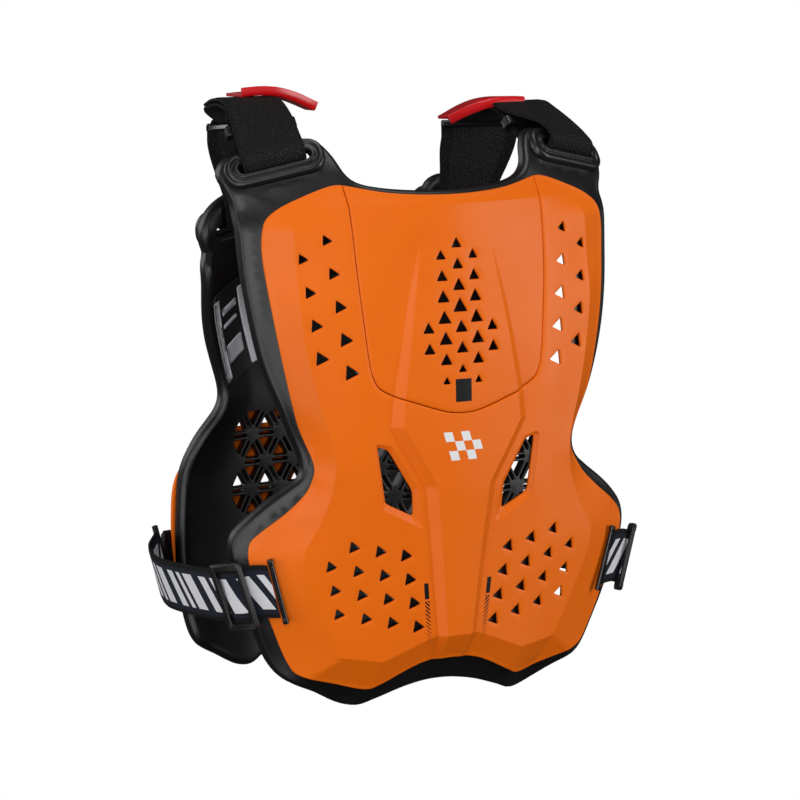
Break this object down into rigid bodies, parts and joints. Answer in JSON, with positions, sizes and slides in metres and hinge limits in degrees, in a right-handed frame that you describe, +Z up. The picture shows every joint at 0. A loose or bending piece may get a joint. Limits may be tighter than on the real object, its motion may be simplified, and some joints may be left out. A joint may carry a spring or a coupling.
{
  "type": "roost deflector",
  "caption": "Chest and back plates on foam liners, joined by shoulder and waist straps, that shield a rider's torso from stones.",
  "frame": {"origin": "where the shoulder straps rest on the wearer, in the middle between them", "axes": "+Z up, the wearer faces -Y, +X is the viewer's right from in front"},
  "size_m": [0.384, 0.2686, 0.4934],
  "materials": {
    "orange_plastic": "satin moulded plastic",
    "black_foam": "moulded foam with a skin",
    "printed_sheet": "printed rubbery sheet",
    "black_plastic": "satin",
    "black_webbing": "looped pile",
    "navy_elastic": "ribbed elastic with a woven print",
    "red_plastic": "soft moulded plastic"
  },
  "bodies": {
    "root": {"front_shell": "orange_plastic", "centre_panel": "orange_plastic", "back_shell": "orange_plastic", "front_liner": "black_foam", "back_liner": "black_foam", "back_tongue": "printed_sheet", "release_tab": "red_plastic", "front_ring_left": "black_plastic", "back_ring_left": "black_plastic", "shoulder_strap_left": "black_webbing", "back_strap_left": "black_webbing", "fold_bar_left": "black_plastic", "strap_loop_left": "black_plastic", "pull_tab_left": "red_plastic", "waist_strap_left": "navy_elastic", "slider_left": "black_plastic", "front_bar_left": "black_plastic", "back_bar_left": "black_plastic", "front_ring_right": "black_plastic", "back_ring_right": "black_plastic", "shoulder_strap_right": "black_webbing", "back_strap_right": "black_webbing", "fold_bar_right": "black_plastic", "strap_loop_right": "black_plastic", "pull_tab_right": "red_plastic", "waist_strap_right": "navy_elastic", "slider_right": "black_plastic", "front_bar_right": "black_plastic", "back_bar_right": "black_plastic"}
  },
  "joints": []
}
